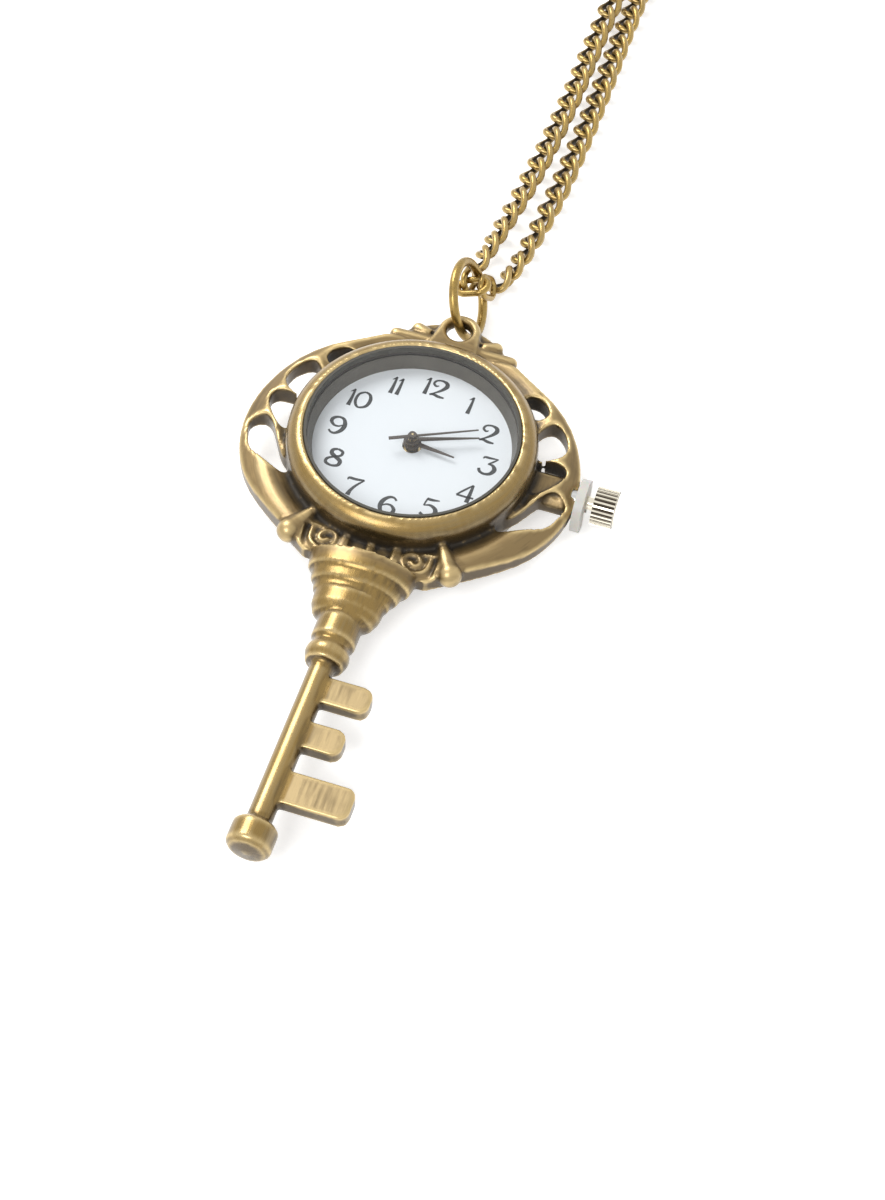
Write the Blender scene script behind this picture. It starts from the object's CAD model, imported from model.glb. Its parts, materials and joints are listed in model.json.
# %% [markdown]
# # A key-shaped pendant watch
# The watch is an old key in antique brass, with a round white dial in its head. The CAD model
# already holds every piece at its real place, in metres, so this lesson keeps it as a frame. It
# gives each node a finish and swaps in finer pieces where soft edges, print or chain links
# matter.

# %% Load the frame
import json
import math
import bmesh
import bpy
import numpy as np
from mathutils import Matrix, Vector
from mathutils.bvhtree import BVHTree

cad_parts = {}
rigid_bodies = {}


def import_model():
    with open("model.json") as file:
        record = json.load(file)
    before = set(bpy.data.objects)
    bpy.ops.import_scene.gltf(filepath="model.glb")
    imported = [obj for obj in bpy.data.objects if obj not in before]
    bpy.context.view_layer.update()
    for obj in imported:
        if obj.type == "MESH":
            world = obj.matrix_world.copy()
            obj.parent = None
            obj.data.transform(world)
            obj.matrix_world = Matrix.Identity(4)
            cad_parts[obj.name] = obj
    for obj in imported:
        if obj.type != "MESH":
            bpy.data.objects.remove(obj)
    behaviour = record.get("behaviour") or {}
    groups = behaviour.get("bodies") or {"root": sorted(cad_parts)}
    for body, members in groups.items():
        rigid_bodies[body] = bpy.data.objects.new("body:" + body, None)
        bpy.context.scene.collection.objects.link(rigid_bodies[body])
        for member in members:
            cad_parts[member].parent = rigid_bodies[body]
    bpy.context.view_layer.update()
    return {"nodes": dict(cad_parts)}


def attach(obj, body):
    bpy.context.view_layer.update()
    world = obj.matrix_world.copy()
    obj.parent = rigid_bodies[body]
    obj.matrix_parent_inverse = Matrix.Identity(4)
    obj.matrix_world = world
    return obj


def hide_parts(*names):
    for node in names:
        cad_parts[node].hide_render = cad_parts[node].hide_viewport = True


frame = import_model()
MM = 0.001

# %% [markdown]
# ## The camera
# The photograph looks down on the watch from the lower right, close enough for the key's bit to
# look larger than the chain. A camera can be aimed with a constraint, but a matrix gives its
# three axes and its place at once, so nothing else decides how the picture is turned.

# %% Place the camera
camera_right = Vector((0.95275, 0.30159, 0.03612))
camera_up = Vector((-0.26864, 0.78117, 0.56357))
camera_back = Vector((0.14175, -0.54665, 0.82528))
camera_place = Vector((0.04243, -0.14585, 0.19694))
lens_mm, sensor_mm = 66.0, 36.0
nearest_seen = 0.01

bpy.ops.object.camera_add(location=camera_place)
camera = bpy.context.object
camera.name = "photo_camera"
turn = Matrix((camera_right, camera_up, camera_back)).transposed()
camera.matrix_world = Matrix.Translation(camera_place) @ turn.to_4x4()
camera.data.lens = lens_mm
camera.data.sensor_width = sensor_mm
camera.data.sensor_fit = "AUTO"
camera.data.clip_start = nearest_seen
bpy.context.scene.camera = camera
print("camera height:", round(camera_place.z, 3))

# %% [markdown]
# ## Shader maths
# A material is a small sum: a mask here, a mix there. Linking Math nodes by hand hides that sum,
# so one class wraps a socket and lets Python's own signs add the nodes. A second class owns the
# material and makes any other node from its type, its settings and its inputs.

# %% Wrap a socket
# A Mix node has sockets for numbers, vectors and colours. These are its colour sockets.
mix_first, mix_second, mix_result = 6, 7, 2


class Number:
    """A number that may change over the surface."""

    def __init__(self, finish, socket):
        self.finish = finish
        self.socket = socket

    def maths(self, operation, first, second):
        return self.finish.node("ShaderNodeMath", {"operation": operation}, {0: first, 1: second})

    def __add__(self, other):
        return self.maths("ADD", self, other)

    def __radd__(self, other):
        return self.maths("ADD", other, self)

    def __sub__(self, other):
        return self.maths("SUBTRACT", self, other)

    def __rsub__(self, other):
        return self.maths("SUBTRACT", other, self)

    def __mul__(self, other):
        return self.maths("MULTIPLY", self, other)

    def __rmul__(self, other):
        return self.maths("MULTIPLY", other, self)

    def __pow__(self, other):
        return self.maths("POWER", self, other)

    def clipped(self):
        """The same number held between 0 and 1."""
        return self.finish.node("ShaderNodeClamp", {}, {"Value": self})


class Finish:
    """A material, with the shader that its maths feeds."""

    def __init__(self, name):
        self.material = bpy.data.materials.new(name)
        self.material.use_nodes = True
        self.tree = self.material.node_tree
        self.shader = self.tree.nodes["Principled BSDF"]

    def node(self, kind, settings, inputs, output=0):
        """Adds a node: settings first, then the values or links of its sockets."""
        made = self.tree.nodes.new(kind)
        for key, value in settings.items():
            setattr(made, key, value)
        for key, value in inputs.items():
            self.feed(made.inputs[key], value)
        return Number(self, made.outputs[output])

    def feed(self, socket, value):
        if isinstance(value, Number):
            self.tree.links.new(value.socket, socket)
        elif isinstance(value, tuple) and len(value) == 3 and socket.type == "RGBA":
            socket.default_value = (*value, 1.0)
        else:
            socket.default_value = value

    def shade(self, **values):
        """Feeds the shader's own sockets, with spaces written as underscores."""
        for key, value in values.items():
            self.feed(self.shader.inputs[key.replace("_", " ")], value)
        return self.material

    def place(self, stretch=(1.0, 1.0, 1.0)):
        """Object coordinates in millimetres, divided along each axis by the stretch."""
        coordinates = self.node("ShaderNodeTexCoord", {}, {}, "Object")
        scale = tuple(1 / MM / part for part in stretch)
        return self.node("ShaderNodeMapping", {}, {"Vector": coordinates, "Scale": scale})

    def parts(self, vector):
        """The three numbers of a vector."""
        self.node("ShaderNodeSeparateXYZ", {}, {"Vector": vector})
        outputs = self.tree.nodes[-1].outputs
        return [Number(self, outputs[axis]) for axis in "XYZ"]

    def noise(self, scale, detail=3.0, stretch=(1.0, 1.0, 1.0)):
        inputs = {"Vector": self.place(stretch), "Scale": scale, "Detail": detail}
        return self.node("ShaderNodeTexNoise", {}, inputs)

    def mix(self, share, first, second):
        """A colour between two others."""
        inputs = {"Factor": share, mix_first: first, mix_second: second}
        return self.node("ShaderNodeMix", {"data_type": "RGBA"}, inputs, mix_result)

    def stored(self, name):
        """A number that the piece's mesh stores at each point."""
        return self.node("ShaderNodeAttribute", {"attribute_name": name}, {}, "Fac")

    def bump(self, height, strength, distance_mm):
        inputs = {"Height": height, "Strength": strength, "Distance": distance_mm * MM}
        return self.node("ShaderNodeBump", {}, inputs)


# %% [markdown]
# ## Antique brass
# The whole key is one casting, plated, darkened and then brushed, so its ridges are worn to pale
# gold and its hollows stay brown. A flat brass colour would look like plastic. The casting
# therefore carries three attributes: relief is below zero in a groove and above zero on an edge,
# shelter says how deep a point lies among its neighbours, and side says how far it faces away
# from the brush, which came from above. The chain's links carry the first one, and plain rings
# carry none. The bezel and the shaft are polished, the rest is brushed to a duller tan. The brush
# ran round the bezel and along the key's bit, so the marks follow two sets of coordinates.

# %% The brass finish
gold = (0.28, 0.18, 0.053)
bright_gold = (0.38, 0.25, 0.066)
tan = (0.25, 0.172, 0.073)
pale_tan = (0.40, 0.298, 0.15)
worn_gold = (0.62, 0.465, 0.22)
brown = (0.068, 0.046, 0.021)
dark_brown = (0.028, 0.021, 0.013)
cloud_scale, speck_scale = 0.3, 3.5
cloud_dirt, speck_dirt, shelter_dirt, seat_dirt, clean_start = 0.5, 0.3, 2.4, 3.0, 0.44
cloud_wear, brush_wear, shelter_saves, wear_start = 0.5, 0.6, 1.2, 0.15
cloud_tarnish, brush_tarnish, side_tarnish, tarnish_start = 1.6, 1.8, 1.5, 0.45
tarnish_most = 0.85
plain_rough, polish_smooths, dirt_roughens = 0.37, 0.08, 0.3
brush_roughens, speck_roughens = 0.22, 0.1
plain_metallic, dirt_dulls, side_dulls = 0.85, 0.5, 0.3
lacquer, dirt_hides_lacquer, lacquer_rough, lacquer_index = 0.32, 0.28, 0.22, 1.5
brush_height, fine_brush_height, brush_strength, brush_depth_mm = 0.7, 0.4, 0.25, 0.05


def brass_layers(
    finish, brush, fine_brush, plain, polished, marks, seat=0.0, wear=1.4, depth=0.9
):
    """Mixes patina, body and worn edges over a plain colour, whatever the brush marks are."""
    relief, shelter, side = (finish.stored(name) for name in ("relief", "shelter", "side"))
    clouds = finish.noise(cloud_scale, 4.0)
    drift = clouds - 0.5
    grit = finish.noise(speck_scale, 2.0) - 0.5
    streaks = brush - 0.5
    groove = shelter * shelter_dirt - clean_start - relief * depth + seat * seat_dirt
    hollow = (groove + drift * cloud_dirt + grit * speck_dirt).clipped()
    proud = relief * wear - shelter * shelter_saves + streaks * brush_wear
    edge = (proud + drift * cloud_wear - wear_start).clipped()
    patches = (clouds - tarnish_start) * cloud_tarnish + streaks * brush_tarnish * marks
    tarnish = (patches + shelter + side * side_tarnish).clipped()
    body = finish.mix(tarnish * tarnish_most, plain, brown)
    bright = finish.mix(edge, body, worn_gold)
    rough = plain_rough - polished * polish_smooths + hollow * dirt_roughens
    rough = rough + (fine_brush - 0.5) * brush_roughens * marks + grit * speck_roughens
    height = brush * brush_height + fine_brush * fine_brush_height
    return finish.shade(
        Base_Color=finish.mix(hollow, bright, dark_brown),
        Roughness=rough,
        Metallic=plain_metallic - hollow * dirt_dulls - side * side_dulls,
        Normal=finish.bump(height, brush_strength * marks, brush_depth_mm),
        Coat_Weight=lacquer - hollow * dirt_hides_lacquer,
        Coat_Roughness=lacquer_rough,
        Coat_IOR=lacquer_index,
    )


# %% [markdown]
# The casting is one piece with several zones, so its finish first works out where a point lies:
# its distance from the dial's middle, its angle round it, and how far down the shaft or out on
# the bit it is.

# %% The casting and the wire
seat_edge_mm, bezel_edge_mm, shaft_start_mm = 12.06, 14.3, 17.2
bit_start_mm, bit_side_mm = 30.0, 1.6
bit_edge_sharp, bezel_edge_sharp, seat_edge_sharp = 4.0, 3.0, 20.0
brush_scale, fine_brush_scale, brush_detail = 2.4, 8.0, 2.0
round_brush, long_brush = 1.3, (1.0, 14.0, 1.0)
wire_brush_scale, wire_fine_scale = 2.6, 9.0


def casting_finish():
    """Brush marks round the head and along the bit, with the bezel and the shaft polished."""
    finish = Finish("casting_brass")
    x, y, z = finish.parts(finish.place())
    radius = (x * x + y * y) ** 0.5
    angle = finish.node("ShaderNodeMath", {"operation": "ARCTAN2"}, {0: x, 1: y})
    round_axes = {"X": radius, "Y": angle * round_brush, "Z": z}
    round_place = finish.node("ShaderNodeCombineXYZ", {}, round_axes)
    shaft = (0.0 - y - shaft_start_mm).clipped()
    bit_side = ((x - bit_side_mm) * bit_edge_sharp).clipped()
    bit = (0.0 - y - bit_start_mm).clipped() * bit_side
    bezel = ((bezel_edge_mm - radius) * bezel_edge_sharp).clipped()
    polished = (bezel + shaft * (1.0 - bit)).clipped()
    brushes = []
    for scale in (brush_scale, fine_brush_scale):
        inputs = {"Vector": round_place, "Scale": scale, "Detail": brush_detail}
        on_head = finish.node("ShaderNodeTexNoise", {}, inputs)
        on_shaft = finish.noise(scale, brush_detail, long_brush)
        brushes.append(on_head * (1.0 - shaft) + on_shaft * shaft)
    plain = finish.mix(polished, finish.mix(bit, tan, pale_tan), gold)
    seat = ((seat_edge_mm - radius) * seat_edge_sharp).clipped() * (1.0 - shaft)
    return brass_layers(finish, *brushes, plain, polished, 1.0, seat)


def wire_finish(name, stretch, marks, wear, depth):
    """Drawn wire, polished all round."""
    finish = Finish(name)
    brush = finish.noise(wire_brush_scale, 2.0, stretch)
    fine_brush = finish.noise(wire_fine_scale, 1.0, stretch)
    return brass_layers(finish, brush, fine_brush, bright_gold, 1.0, marks, wear=wear, depth=depth)


casting_brass = casting_finish()
wire_brass = wire_finish("wire_brass", (1.0, 1.0, 6.0), marks=0.6, wear=0.8, depth=0.9)
link_brass = wire_finish("link_brass", (1.0, 3.0, 1.0), marks=0.5, wear=0.5, depth=1.7)
print("brass finishes:", len((casting_brass, wire_brass, link_brass)))

# %% [markdown]
# ## Plain finishes
# The inside of a watch is sealed, so its wheels and plates need believable metal and plastic
# rather than wear. Each one is still a little uneven: a turned plate shows rings, a moulded ring
# shows grain. One helper gives metals, another gives plastics, and the dial, the glass and the
# crown get their own.

# %% Helpers for metals and plastics
metal_grain_scale, metal_cloud_scale, plastic_grain_scale = 5.0, 0.6, 8.0
metal_dark, metal_dark_start, plastic_dull = 0.72, 0.35, 0.88
metal_rough_range, plastic_rough_range = 0.2, 0.15
plastic_marks, grain_depth_mm, glow_depth_mm = 0.08, 0.02, 0.4


def darker(colour, share):
    return tuple(part * share for part in colour)


def plain_metal(name, colour, rough, stretch=(1.0, 1.0, 1.0), marks=0.1):
    finish = Finish(name)
    grain = finish.noise(metal_grain_scale, 3.0, stretch)
    clouds = (finish.noise(metal_cloud_scale, 2.0) - metal_dark_start).clipped()
    return finish.shade(
        Base_Color=finish.mix(clouds, colour, darker(colour, metal_dark)),
        Metallic=1.0,
        Roughness=rough + (grain - 0.5) * metal_rough_range,
        Normal=finish.bump(grain, marks, grain_depth_mm),
    )


def moulded_plastic(name, colour, rough, subsurface=0.0):
    finish = Finish(name)
    grain = finish.noise(plastic_grain_scale, 2.0)
    return finish.shade(
        Base_Color=finish.mix(grain, colour, darker(colour, plastic_dull)),
        Roughness=rough + (grain - 0.5) * plastic_rough_range,
        Normal=finish.bump(grain, plastic_marks, grain_depth_mm),
        Subsurface_Weight=subsurface,
        Subsurface_Scale=glow_depth_mm * MM,
    )


# %% Crystal, dial and crown
crystal_tint = (0.96, 0.98, 1.0)
haze_scale, least_haze, haze_roughens, haze_shows = 0.5, 0.02, 0.04, 0.02
dial_blue, dial_cream = (0.78, 0.83, 0.87), (0.82, 0.85, 0.86)
dial_cloud_scale, dial_grain_scale, cream_most = 0.15, 12.0, 0.5
dial_rough, dial_rough_range, dial_marks, dial_depth_mm = 0.45, 0.1, 0.04, 0.01
chrome_bright, chrome_worn = (0.92, 0.87, 0.74), (0.74, 0.68, 0.55)
flute_dirt = (0.05, 0.04, 0.03)
chrome_grain_scale, chrome_rough, flute_roughens, chrome_rough_range = 4.0, 0.16, 0.3, 0.12
chrome_marks = 0.08
crown_axis_mm, crown_radius_mm, flute_floor_mm = 3.3, 2.18, 1.9
flute_top_sharp, flute_floor_sharp = 9.0, 8.0


def clear_crystal():
    """Nearly clear glass. The haze keeps its gloss from being even all over."""
    finish = Finish("crystal_glass")
    haze = finish.noise(haze_scale, 2.0)
    return finish.shade(
        Base_Color=crystal_tint,
        Roughness=least_haze + haze * haze_roughens,
        Alpha=least_haze + haze * haze_shows,
    )


def printed_dial():
    """Matte white enamel, slightly blue, with a faint unevenness."""
    finish = Finish("dial_enamel")
    clouds = finish.noise(dial_cloud_scale, 2.0)
    grain = finish.noise(dial_grain_scale, 1.0)
    return finish.shade(
        Base_Color=finish.mix(clouds * cream_most, dial_blue, dial_cream),
        Roughness=dial_rough + grain * dial_rough_range,
        Normal=finish.bump(grain, dial_marks, dial_depth_mm),
    )


def fluted_chrome():
    """Chrome whose flutes hold dirt: the distance from the crown's axis tells how deep they are."""
    finish = Finish("fluted_chrome")
    x, y, z = finish.parts(finish.place())
    height = z - crown_axis_mm
    radius = (y * y + height * height) ** 0.5
    below_top = ((crown_radius_mm - radius) * flute_top_sharp).clipped()
    above_floor = ((radius - flute_floor_mm) * flute_floor_sharp).clipped()
    flute = below_top * above_floor
    grain = finish.noise(chrome_grain_scale, 3.0)
    chrome = finish.mix(grain, chrome_bright, chrome_worn)
    return finish.shade(
        Base_Color=finish.mix(flute, chrome, flute_dirt),
        Roughness=chrome_rough + flute * flute_roughens + (grain - 0.5) * chrome_rough_range,
        Metallic=1.0,
        Normal=finish.bump(grain, chrome_marks, grain_depth_mm),
    )


# %% One finish of each kind
crown_chrome = fluted_chrome()
bright_chrome = plain_metal("bright_chrome", (0.55, 0.53, 0.48), 0.2, (6.0, 1.0, 1.0), 0.06)
brushed_steel = plain_metal("brushed_steel", (0.55, 0.55, 0.54), 0.34, (10.0, 1.0, 1.0), 0.2)
turned_brass = plain_metal("turned_brass", (0.62, 0.50, 0.28), 0.3)
grey_iron = plain_metal("grey_iron", (0.28, 0.28, 0.29), 0.45)
can_silver = plain_metal("can_silver", (0.62, 0.63, 0.65), 0.28, (1.0, 1.0, 5.0))
copper_winding = plain_metal("copper_winding", (0.58, 0.24, 0.11), 0.35, (0.08, 4.0, 4.0), 0.5)
smoked_rehaut = plain_metal("smoked_rehaut", (0.15, 0.135, 0.11), 0.42, (3.0, 3.0, 1.0), 0.1)
hand_lacquer = moulded_plastic("hand_lacquer", (0.05, 0.034, 0.022), 0.4)
white_nylon = moulded_plastic("white_nylon", (0.80, 0.80, 0.79), 0.4)
spacer_plastic = moulded_plastic("spacer_plastic", (0.68, 0.67, 0.62), 0.4, 0.3)
smoked_seal = moulded_plastic("smoked_seal", (0.075, 0.07, 0.055), 0.6)
black_rubber = moulded_plastic("black_rubber", (0.02, 0.02, 0.02), 0.6)
black_resin = moulded_plastic("black_resin", (0.03, 0.03, 0.03), 0.4)
green_lacquer = moulded_plastic("green_lacquer", (0.03, 0.16, 0.07), 0.3)
numeral_ink = moulded_plastic("numeral_ink", (0.012, 0.015, 0.016), 0.6)
crystal_glass = clear_crystal()
dial_enamel = printed_dial()
print("finishes:", len(bpy.data.materials))

# %% [markdown]
# ## Finishes on the nodes
# A node whose CAD shape is already right keeps it and only gets its finish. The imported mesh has
# flat facets, so round nodes are shaded smooth up to a crease angle, which changes no vertex.

# %% Dress the CAD nodes
node_finishes = {
    "case_back": brushed_steel, "clasp_pin": brushed_steel, "clasp_spring": brushed_steel,
    "stem": brushed_steel, "stem_tube": brushed_steel, "setting_lever": brushed_steel,
    "yoke": brushed_steel, "battery_clamp": brushed_steel, "movement_screws": brushed_steel,
    "crown": crown_chrome, "battery_cell": bright_chrome, "case_back_gasket": black_rubber,
    "crown_gasket": black_rubber, "crystal": crystal_glass, "crystal_gasket": smoked_seal,
    "rehaut_ring": smoked_rehaut, "dial": dial_enamel, "movement_holder": white_nylon,
    "crown_spacer": spacer_plastic, "circuit_board": green_lacquer, "board_chip": black_resin,
    "oscillator_can": can_silver, "coil_core": grey_iron, "stator": grey_iron, "rotor": grey_iron,
    "coil_winding": copper_winding, "hour_hand": hand_lacquer, "minute_hand": hand_lacquer,
    "second_hand": hand_lacquer, "clasp_body": link_brass, "clasp_lever": link_brass,
    "clasp_ring": wire_brass, "end_ring": wire_brass, "jump_ring": wire_brass,
    "chain_mid_links": link_brass,
}
crease_angle = math.radians(35)


def select_only(piece):
    bpy.ops.object.select_all(action="DESELECT")
    piece.select_set(True)
    bpy.context.view_layer.objects.active = piece


def give_finish(piece, material):
    piece.data.materials.clear()
    piece.data.materials.append(material)


for name, node in frame["nodes"].items():
    give_finish(node, node_finishes.get(name, turned_brass))
    select_only(node)
    bpy.ops.object.shade_smooth_by_angle(angle=crease_angle)
print("dressed nodes:", len(frame["nodes"]))

# %% [markdown]
# ## The casting's soft edges
# Die-cast metal has no sharp corner: each edge is rounded by the mould, the plating and the
# brush. The CAD solid is exact and sharp. A bevel fails where so many curved faces meet, so a
# copy of the solid is rebuilt as one even skin of small voxels, and a few smoothing steps melt
# its corners together. Voxels leave crumbs in closed hollows, so only the largest loose part
# stays.

# %% Rebuild the casting as one skin
double_mm = 0.0005
voxel_mm = 0.21
melt_steps, melt_share = 3, 0.5


def edit_all(piece, operator, **settings):
    """Runs a mesh operator on the whole of a piece, in edit mode."""
    select_only(piece)
    bpy.ops.object.mode_set(mode="EDIT")
    bpy.ops.mesh.select_all(action="SELECT")
    operator(**settings)
    bpy.ops.object.mode_set(mode="OBJECT")


def copy_node(name, piece_name):
    """A free copy of a CAD node, at the origin, with its doubles merged."""
    select_only(frame["nodes"][name])
    bpy.ops.object.duplicate()
    piece = bpy.context.object
    bpy.ops.object.parent_clear(type="CLEAR_KEEP_TRANSFORM")
    piece.name = piece_name
    piece.data.name = piece_name
    edit_all(piece, bpy.ops.mesh.remove_doubles, threshold=double_mm * MM)
    return piece


def apply_modifier(piece, kind, **settings):
    select_only(piece)
    modifier = piece.modifiers.new(kind.lower(), kind)
    for key, value in settings.items():
        setattr(modifier, key, value)
    bpy.ops.object.modifier_apply(modifier=modifier.name)


def largest_part(piece):
    """Keeps the loose part with the most points, under the piece's name."""
    name = piece.name
    edit_all(piece, bpy.ops.mesh.separate, type="LOOSE")
    parts = sorted(bpy.context.selected_objects, key=lambda part: len(part.data.vertices))
    for crumb in parts[:-1]:
        bpy.data.objects.remove(crumb)
    parts[-1].name = name
    return parts[-1]


casting = copy_node("key_casting", "key_body")
skin = {"mode": "VOXEL", "voxel_size": voxel_mm * MM, "use_smooth_shade": True}
apply_modifier(casting, "REMESH", **skin)
apply_modifier(casting, "SMOOTH", factor=melt_share, iterations=melt_steps)
casting = largest_part(casting)
select_only(casting)
bpy.ops.object.shade_smooth()
give_finish(casting, casting_brass)
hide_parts("key_casting")
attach(casting, "watch")
print("casting faces:", len(casting.data.polygons))

# %% [markdown]
# ## Reading the relief
# Where metal stands proud it was brushed bright, and where it lies low it kept its brown. The
# shape itself can say which is which. For relief, a copy of the skin is smoothed until its edges
# vanish, and each point's height above that calm surface is kept. For shelter, a few rays leave
# each point, and the ones that soon meet metal again are counted. The side is read from the
# normal. All three are stored per point, so they bake and export.

# %% Read and write numbers on points
def point_array(mesh, attribute):
    values = np.empty(len(mesh.vertices) * 3)
    mesh.vertices.foreach_get(attribute, values)
    return values.reshape(-1, 3)


def neighbour_mean(mesh):
    """A function that averages values over each point's neighbours."""
    count = len(mesh.vertices)
    ends = np.empty(len(mesh.edges) * 2, dtype=np.int64)
    mesh.edges.foreach_get("vertices", ends)
    one, other = np.concatenate([ends.reshape(-1, 2), ends.reshape(-1, 2)[:, ::-1]]).T
    neighbours = np.maximum(np.bincount(one, minlength=count), 1)[:, None]

    def mean(values):
        columns = [np.bincount(one, weights=column[other], minlength=count) for column in values.T]
        return np.stack(columns, axis=1) / neighbours

    return mean


def calmed(mesh, values, rounds, share):
    """The values after each point has moved towards its neighbours' mean, several times."""
    mean = neighbour_mean(mesh)
    for _ in range(rounds):
        values = (1 - share) * values + share * mean(values)
    return values


def store_number(mesh, name, values):
    attribute = mesh.attributes.new(name, "FLOAT", "POINT")
    attribute.data.foreach_set("value", values.astype(np.float32))


# %% Relief and side
relief_rounds, relief_share, relief_full_mm = 7, 0.5, 0.07
side_start = 0.8


def store_relief(mesh):
    """Each point's height above its smoothed neighbourhood, as -1 to 1."""
    places, normals = point_array(mesh, "co"), point_array(mesh, "normal")
    calm = calmed(mesh, places, relief_rounds, relief_share)
    height = ((places - calm) * normals).sum(axis=1) / (relief_full_mm * MM)
    store_number(mesh, "relief", np.clip(height, -1.0, 1.0))
    return height


def store_side(mesh):
    """How far each point faces away from straight up, from 0 to 1."""
    side = np.clip((side_start - point_array(mesh, "normal")[:, 2]) / side_start, 0.0, 1.0)
    store_number(mesh, "side", side)
    return side


# %% Shelter
ray_count, ray_reach_mm, ray_start_mm = 26, 3.2, 0.04
least_facing, far_wall_loss = 0.15, 0.5
shelter_rounds, shelter_share = 3, 0.6


def even_directions(count):
    """Directions spread evenly over a ball, along a spiral from its top to its bottom."""
    steps = np.arange(count) + 0.5
    heights = 1 - 2 * steps / count
    turns = steps * math.pi * (1 + math.sqrt(5))
    level = np.sqrt(1 - heights ** 2)
    return np.stack([level * np.cos(turns), level * np.sin(turns), heights], axis=1)


def store_shelter(mesh):
    """The share of rays from each point that soon meet the piece again, from 0 to 1."""
    places, normals = point_array(mesh, "co"), point_array(mesh, "normal")
    polygons = [tuple(polygon.vertices) for polygon in mesh.polygons]
    tree = BVHTree.FromPolygons([Vector(place) for place in places], polygons)
    directions = even_directions(ray_count)
    rays = [Vector(direction) for direction in directions]
    facing = normals @ directions.T
    starts = places + normals * (ray_start_mm * MM)
    reach = ray_reach_mm * MM
    shelter = np.zeros((len(places), 1))
    for index, start in enumerate(starts):
        origin = Vector(start)
        open_sum = 0.0
        for ray in np.nonzero(facing[index] > least_facing)[0]:
            weight = facing[index, ray]
            open_sum += weight
            distance = tree.ray_cast(origin, rays[ray], reach)[3]
            if distance is not None:
                shelter[index] += weight * (1 - far_wall_loss * distance / reach)
        shelter[index] /= open_sum
    shelter = calmed(mesh, shelter, shelter_rounds, shelter_share)
    store_number(mesh, "shelter", shelter[:, 0])
    return shelter


for store in (store_relief, store_shelter, store_side):
    spread = np.percentile(store(casting.data), (5, 50, 95))
    print(store.__name__, [round(float(part), 2) for part in spread])

# %% [markdown]
# ## Where the chain runs
# The necklace chain starts at the jump ring as two strands side by side. They lie on the table,
# and past the picture's edge they are wound into two flat coils, one on the other, that meet at
# the clasp. A few control points and a smooth NURBS curve give the run of each, because a soft
# chain has no corners. Each coil is half turns of shrinking radius, so a loop works out its
# points.

# %% Lay the two routes
link_pitch_mm = 2.95
low_z, high_z = 1.6, 4.95
coil_x, coil_y = 4.2, 102.5
first_radius, radius_step = 21.0, 1.8
steps_per_half_turn = 12


def arc_points(centre, radius, start_degrees, end_degrees, height):
    """Control points along an arc, without its first one, which the run before it has."""
    count = max(2, round(abs(end_degrees - start_degrees) / 180 * steps_per_half_turn))
    places = []
    for step in range(1, count + 1):
        angle = math.radians(start_degrees + (end_degrees - start_degrees) * step / count)
        x, y = radius * math.cos(angle), radius * math.sin(angle)
        places.append((centre[0] + x, centre[1] + y, height))
    return places


def coil_points(half_turns, height):
    """Half turns that shrink, first over the far side and then over the near one."""
    places = []
    x = coil_x
    for turn in range(half_turns):
        radius = first_radius - turn * radius_step
        side = -1 if turn % 2 else 1
        centre = (x - side * radius, coil_y)
        start = 0 if side > 0 else 180
        places += arc_points(centre, radius, start, start + 180, height)
        x -= side * 2 * radius
    return places


def nurbs_line(name, places_mm):
    """A smooth curve on control points, and the points that it passes, in metres."""
    curve = bpy.data.curves.new(name, "CURVE")
    curve.dimensions = "3D"
    curve.resolution_u = 12
    spline = curve.splines.new("NURBS")
    spline.points.add(len(places_mm) - 1)
    for point, place in zip(spline.points, places_mm):
        point.co = (*(part * MM for part in place), 1.0)
    spline.order_u = 3
    spline.use_endpoint_u = True
    holder = bpy.data.objects.new(name, curve)
    line = [vertex.co.copy() for vertex in bpy.data.meshes.new_from_object(holder).vertices]
    bpy.data.objects.remove(holder)
    return line


left_run = [
    (-1.44093, 29.08035, 3.30625), (-1.2, 33.0, 2.45), (0.2, 47.0, 1.6), (1.0, 62.0, 1.6),
    (1.05, 77.0, 1.75), (2.1, 89.5, 3.8), (coil_x, coil_y, high_z),
]
left_run += coil_points(5, high_z)
left_run += arc_points((-24.1, 102.5), 6.5, 180, 270, high_z)
right_run = [
    (1.37835, 27.83622, 2.086), (2.25, 30.6, 1.65), (3.0, 35.0, 1.6), (3.75, 42.5, 1.61),
    (4.2, 52.5, 1.6), (4.3, 64.5, 1.62), (4.1, 76.5, 1.6), (4.25, 87.5, 1.61),
    (coil_x, coil_y, low_z),
]
right_run += coil_points(6, low_z)
right_run += arc_points((-16.8, 102.5), 10.2, 0, 90, low_z)
right_run += arc_points((-16.8, 107.7), 5.0, 90, 180, low_z)
left_line = nurbs_line("left_route", left_run)
right_line = nurbs_line("right_route", right_run)


def line_length(line):
    return sum((end - start).length for start, end in zip(line, line[1:]))


print("left", round(line_length(left_line), 4), "right", round(line_length(right_line), 4))

# %% [markdown]
# ## One curb link
# Each link is an oval of wire, twisted a quarter turn from end to end, which is what lets a curb
# chain lie flat. A torus could be stretched, but the twist needs each ring of points turned by
# its place along the link, so the wire is swept in code. Only the links near the camera get fine
# wire; the coil has hundreds of links, and a few dozen faces are enough there.

# %% Shape the links
link_reach_mm, link_half_width_mm, link_wire_mm = 1.875, 1.33, 0.42
link_fullness = 0.82
end_twist = math.radians(45)
end_width_mm = 0.2
fine_wire, coil_wire = (28, 10), (12, 4)


def full(value):
    """A sine or cosine pushed outwards, so that an ellipse becomes a fuller oval."""
    return math.copysign(abs(value) ** link_fullness, value)


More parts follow.
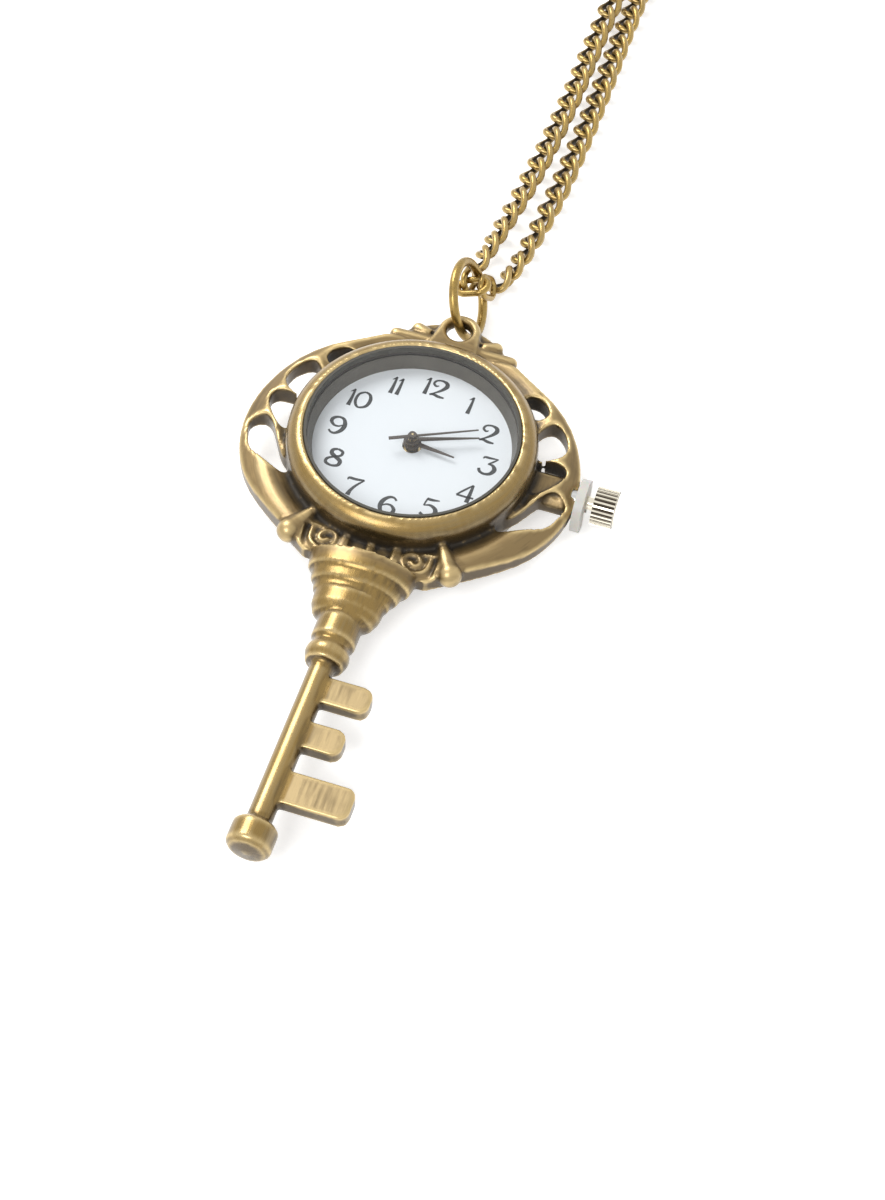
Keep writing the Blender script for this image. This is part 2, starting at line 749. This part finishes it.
def link_spine(share, lean):
    """A point of the wire's middle line, as along, across and up, in millimetres."""
    angle = math.tau * share
    along = full(math.cos(angle)) * link_reach_mm
    wide = full(math.sin(angle)) * link_half_width_mm
    twist = lean + end_twist * along / link_reach_mm
    return Vector((along, wide * math.cos(twist), wide * math.sin(twist)))


def link_rings(segments, sides, lean):
    """Rings of points round the wire, each with how far it faces away from the link's middle."""
    rings = []
    for segment in range(segments):
        before, middle, after = (
            link_spine((segment + step) / segments, lean) for step in (-0.5, 0, 0.5)
        )
        tangent = (after - before).normalized()
        at_end = middle.yz.length <= end_width_mm
        outward = Vector((middle.x, 0, 0)) if at_end else Vector((0, middle.y, middle.z))
        outward = (outward - tangent * outward.dot(tangent)).normalized()
        across = tangent.cross(outward)
        ring = []
        for side in range(sides):
            angle = math.tau * side / sides
            away = math.cos(angle)
            point = middle + (outward * away + across * math.sin(angle)) * link_wire_mm
            ring.append((point, away))
        rings.append(ring)
    return rings


# %% String the links on a line
def link_frames(line):
    """Each link's middle and its three axes, one link at each pitch of the line."""
    lengths = [0.0]
    for start, end in zip(line, line[1:]):
        lengths.append(lengths[-1] + (end - start).length)
    count = int((lengths[-1] - link_reach_mm * MM) / (link_pitch_mm * MM))
    frames = []
    index = 0
    for number in range(count):
        reach = (link_reach_mm + number * link_pitch_mm) * MM
        while lengths[index + 1] < reach:
            index += 1
        share = (reach - lengths[index]) / (lengths[index + 1] - lengths[index])
        middle = line[index].lerp(line[index + 1], share)
        along = (line[index + 1] - line[index]).normalized()
        across = along.cross(Vector((0, 0, 1))).normalized()
        frames.append((middle, along, across, across.cross(along)))
    return frames


def ring_faces(first, segments, sides):
    """Faces between rings of points, the last ring joined to the first one."""
    faces = []
    for segment in range(segments):
        one = first + segment * sides
        other = first + (segment + 1) % segments * sides
        for side in range(sides):
            right = (side + 1) % sides
            faces.append((one + side, other + side, other + right, one + right))
    return faces


def mesh_piece(mesh):
    """Puts a new mesh in the scene under its own name, with its faces pointing outwards."""
    piece = bpy.data.objects.new(mesh.name, mesh)
    bpy.context.collection.objects.link(piece)
    edit_all(piece, bpy.ops.mesh.normals_make_consistent, inside=False)
    return piece


def chain_piece(name, line, lean_at, fine_links):
    """All links of a strand in one mesh."""
    places, faces, relief = [], [], []
    frames = link_frames(line)
    for number, (middle, along, across, up) in enumerate(frames):
        segments, sides = fine_wire if number < fine_links else coil_wire
        faces += ring_faces(len(places), segments, sides)
        for ring in link_rings(segments, sides, lean_at(number)):
            for point, away in ring:
                offset = along * point.x + across * point.y + up * point.z
                places.append(middle + offset * MM)
                relief.append(away)
    mesh = bpy.data.meshes.new(name)
    mesh.from_pydata(places, [], faces)
    store_number(mesh, "relief", np.array(relief))
    piece = mesh_piece(mesh)
    bpy.ops.object.shade_smooth()
    give_finish(piece, link_brass)
    print(name, "links:", len(frames), "faces:", len(mesh.polygons))
    return piece


# %% [markdown]
# ## The two strands
# At the jump ring the first link hangs edge-on, and over a few links each strand rolls until it
# rests with one side raised, which is why the light catches a row of bright bars along its right.
# The clasp pieces stay as the CAD has them and belong to the strands' far ends.

# %% Place the strands
laid_lean = math.radians(38)
first_lean = math.radians(66)
rolling_links = 6
fine_strand_links = 30


def strand_lean(number):
    share = min(1.0, number / rolling_links)
    return first_lean + (laid_lean - first_lean) * share


strand_ends = {
    "necklace_left": (left_line, ("chain_strand_left", "chain_coil_upper"), ("clasp_ring",)),
    "necklace_right": (
        right_line, ("chain_strand_right", "chain_coil_lower"),
        ("end_ring", "clasp_body", "clasp_lever", "clasp_pin", "clasp_spring"),
    ),
}
for name, (line, replaced, ends) in strand_ends.items():
    strand = chain_piece(name, line, strand_lean, fine_strand_links)
    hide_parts(*replaced)
    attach(strand, "watch")

# %% [markdown]
# ## The dial's numerals
# The numerals are printed upright with a broad pen: strokes swell and thin out as they turn. A
# font would give even strokes, so each figure is drawn as one or more pen strokes, a few points
# with a half width at each. The strokes are smoothed, turned into flat ribbons and given the
# thickness of a layer of ink.

# %% Draw the figures
numeral_height_mm = 2.5
pen_boldness = 1.15
numeral_circle_mm = 8.75
dial_top_mm = 5.0
ink_sink_mm, ink_depth_mm = 0.01, 0.03
pen_steps = 6
figure_step, one_step, figure_gap = 0.86, 0.3, 0.08

# Each point is across and up as shares of the height, and half the pen's width there.
six = [
    (0.70, 0.84, 0.04), (0.57, 0.96, 0.045), (0.36, 0.95, 0.06), (0.15, 0.72, 0.085),
    (0.09, 0.40, 0.09), (0.22, 0.10, 0.065), (0.46, 0.03, 0.05), (0.68, 0.14, 0.07),
    (0.73, 0.34, 0.075), (0.56, 0.53, 0.05), (0.34, 0.54, 0.04), (0.17, 0.42, 0.025),
]
pen_figures = {
    "0": [[
        (0.37, 0.97, 0.04), (0.12, 0.78, 0.05), (0.06, 0.42, 0.06), (0.16, 0.12, 0.055),
        (0.35, 0.03, 0.045), (0.62, 0.2, 0.065), (0.7, 0.56, 0.075), (0.6, 0.86, 0.06),
        (0.37, 0.97, 0.04),
    ]],
    "1": [
        [(0.0, 0.80, 0.01), (0.1, 0.88, 0.035), (0.17, 0.99, 0.03)],
        [(0.17, 1.0, 0.04), (0.16, 0.5, 0.06), (0.13, 0.0, 0.085)],
    ],
    "2": [
        [
            (0.34, 0.66, 0.02), (0.22, 0.6, 0.045), (0.09, 0.72, 0.05), (0.16, 0.91, 0.045),
            (0.4, 0.98, 0.045), (0.64, 0.9, 0.075), (0.7, 0.71, 0.09), (0.56, 0.47, 0.065),
            (0.3, 0.22, 0.04), (0.07, 0.04, 0.04),
        ],
        [(0.07, 0.05, 0.04), (0.24, 0.1, 0.055), (0.48, 0.04, 0.065), (0.75, 0.03, 0.035)],
    ],
    "3": [
        [(0.1, 0.84, 0.025), (0.16, 0.94, 0.05), (0.42, 0.95, 0.05), (0.76, 0.98, 0.02)],
        [(0.76, 0.98, 0.025), (0.58, 0.78, 0.04), (0.4, 0.61, 0.03)],
        [
            (0.38, 0.6, 0.03), (0.6, 0.58, 0.06), (0.74, 0.37, 0.09), (0.62, 0.11, 0.075),
            (0.36, 0.02, 0.055), (0.14, 0.1, 0.06), (0.05, 0.27, 0.06),
        ],
    ],
    "4": [
        [(0.6, 1.0, 0.03), (0.3, 0.64, 0.045), (0.03, 0.3, 0.035)],
        [(0.03, 0.3, 0.045), (0.4, 0.29, 0.045), (0.8, 0.3, 0.04)],
        [(0.6, 1.0, 0.05), (0.59, 0.5, 0.07), (0.56, 0.0, 0.09)],
    ],
    "5": [
        [(0.2, 0.94, 0.06), (0.42, 0.93, 0.06), (0.74, 0.98, 0.025)],
        [(0.21, 0.97, 0.035), (0.17, 0.76, 0.035), (0.14, 0.54, 0.03)],
        [
            (0.14, 0.55, 0.02), (0.4, 0.63, 0.05), (0.66, 0.5, 0.08), (0.73, 0.28, 0.09),
            (0.56, 0.07, 0.065), (0.3, 0.02, 0.05), (0.08, 0.12, 0.06),
        ],
    ],
    "6": [six],
    "7": [
        [(0.06, 0.8, 0.02), (0.1, 0.92, 0.055), (0.4, 0.92, 0.06), (0.78, 0.97, 0.04)],
        [(0.78, 0.97, 0.03), (0.52, 0.62, 0.05), (0.36, 0.3, 0.065), (0.3, 0.0, 0.095)],
    ],
    "8": [
        [
            (0.4, 0.98, 0.045), (0.2, 0.88, 0.07), (0.2, 0.68, 0.085), (0.44, 0.52, 0.08),
            (0.68, 0.36, 0.085), (0.66, 0.12, 0.07), (0.38, 0.02, 0.05), (0.1, 0.12, 0.065),
            (0.1, 0.34, 0.06), (0.36, 0.52, 0.045), (0.62, 0.66, 0.055), (0.64, 0.88, 0.06),
            (0.4, 0.98, 0.045),
        ],
    ],
    "9": [[(0.79 - x, 1.0 - y, width) for x, y, width in six]],
}


# %% Print them on the dial
def smooth_stroke(points):
    """Points between the given ones, on a curve that passes through all of them."""
    ends = [points[0], *points, points[-1]]
    line = []
    for before, start, end, after in zip(ends, ends[1:], ends[2:], ends[3:]):
        for step in range(pen_steps):
            share = step / pen_steps
            line.append([
                0.5 * (2 * b + (c - a) * share + (2 * a - 5 * b + 4 * c - d) * share ** 2
                       + (3 * b - a - 3 * c + d) * share ** 3)
                for a, b, c, d in zip(before, start, end, after)
            ])
    return line + [list(points[-1])]


def add_stroke(shape, points, origin):
    """A flat ribbon along a stroke, as wide as the pen was there."""
    line = smooth_stroke(points)
    height = (dial_top_mm - ink_sink_mm) * MM
    pairs = []
    for index, (x, y, width) in enumerate(line):
        start, end = line[max(0, index - 1)], line[min(len(line) - 1, index + 1)]
        direction = Vector((end[0] - start[0], end[1] - start[1])).normalized()
        pair = []
        for side in (-1, 1):
            across = x + side * direction.y * width * pen_boldness
            up = y - side * direction.x * width * pen_boldness
            pair.append(shape.verts.new((
                (origin[0] + across * numeral_height_mm) * MM,
                (origin[1] + up * numeral_height_mm) * MM,
                height,
            )))
        pairs.append(pair)
    for one, other in zip(pairs, pairs[1:]):
        shape.faces.new((one[0], one[1], other[1], other[0]))


numerals = bmesh.new()
for hour in range(1, 13):
    angle = math.tau * hour / 12
    steps = [one_step if figure == "1" else figure_step for figure in str(hour)]
    x = numeral_circle_mm * math.sin(angle) - (sum(steps) - figure_gap) * numeral_height_mm / 2
    y = numeral_circle_mm * math.cos(angle) - numeral_height_mm / 2
    for figure, step in zip(str(hour), steps):
        for stroke in pen_figures[figure]:
            add_stroke(numerals, stroke, (x, y))
        x += step * numeral_height_mm
for face in numerals.faces:
    if face.normal.z < 0:
        face.normal_flip()
numeral_mesh = bpy.data.meshes.new("dial_numerals")
numerals.to_mesh(numeral_mesh)
numerals.free()
dial_numerals = mesh_piece(numeral_mesh)
apply_modifier(dial_numerals, "SOLIDIFY", thickness=ink_depth_mm * MM, offset=1.0)
give_finish(dial_numerals, numeral_ink)
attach(dial_numerals, "watch")
print("numeral faces:", len(dial_numerals.data.polygons))

# %% [markdown]
# ## Floor and light
# The watch lies on a white sweep. Its own shadow has to stay soft and pale, so the floor is a
# bright surface with a share of its own light, which only the lens and reflections see. A big
# lamp at the upper left gives the brass its bright side, a smaller one near the camera lights the
# bezel's lower edge, and the right side falls off by itself.

# %% Build the studio
floor_size = 4.0
paper_scale, paper_rough = 0.02, 0.9
sky_light = 0.52


def grey(level):
    return (level, level, level)


def background_share(finish):
    """One where the camera, a reflection or a look through glass meets the backdrop."""
    names = ("Is Camera Ray", "Is Glossy Ray", "Is Transmission Ray")
    camera_ray, glossy_ray, glass_ray = (
        finish.node("ShaderNodeLightPath", {}, {}, name) for name in names
    )
    return (camera_ray + glossy_ray + glass_ray).clipped()


bpy.ops.mesh.primitive_plane_add(size=floor_size, location=(0.0, 0.0, 0.0))
floor = bpy.context.object
floor.name = "white_floor"
floor_finish = Finish("floor_white")
paper = floor_finish.noise(paper_scale, 2.0)
floor_shade = floor_finish.mix(paper, grey(0.9), grey(0.93))
floor_glow = floor_finish.mix(background_share(floor_finish), grey(0.0), grey(0.55))
floor_white = floor_finish.shade(
    Base_Color=floor_shade, Roughness=paper_rough, Emission_Color=floor_glow, Emission_Strength=1.0
)
give_finish(floor, floor_white)


# %% [markdown]
# The world is a shader too, with a Background node in place of the surface one, so it can use the
# same signs. Rays that carry light to the object meet a plain grey sky, and the lens meets white.

# %% Sky and lamps
class Sky(Finish):
    """The world's shader, kept by the same signs as a material's."""

    def __init__(self, world):
        world.use_nodes = True
        self.material = world
        self.tree = world.node_tree
        self.shader = self.tree.nodes["Background"]


world = bpy.data.worlds.new("studio_world")
bpy.context.scene.world = world
sky = Sky(world)
sky_colour = sky.mix(background_share(sky), grey(sky_light), grey(1.0))
sky.shade(Color=sky_colour, Strength=1.0)


def add_lamp(name, place, target, size, power):
    bpy.ops.object.light_add(type="AREA", location=place)
    lamp = bpy.context.object
    lamp.name = name
    lamp.data.shape = "DISK"
    lamp.data.size = size
    lamp.data.energy = power
    aim = Vector(target) - Vector(place)
    lamp.rotation_euler = aim.to_track_quat("-Z", "Y").to_euler()


watch_middle = (0.0, 0.02, 0.0)
add_lamp("key_lamp", (-0.35, 0.25, 0.5), watch_middle, size=0.35, power=2.4)
add_lamp("fill_lamp", (-0.15, -0.4, 0.45), watch_middle, size=0.3, power=1.3)
bpy.context.scene.view_settings.view_transform = "Standard"
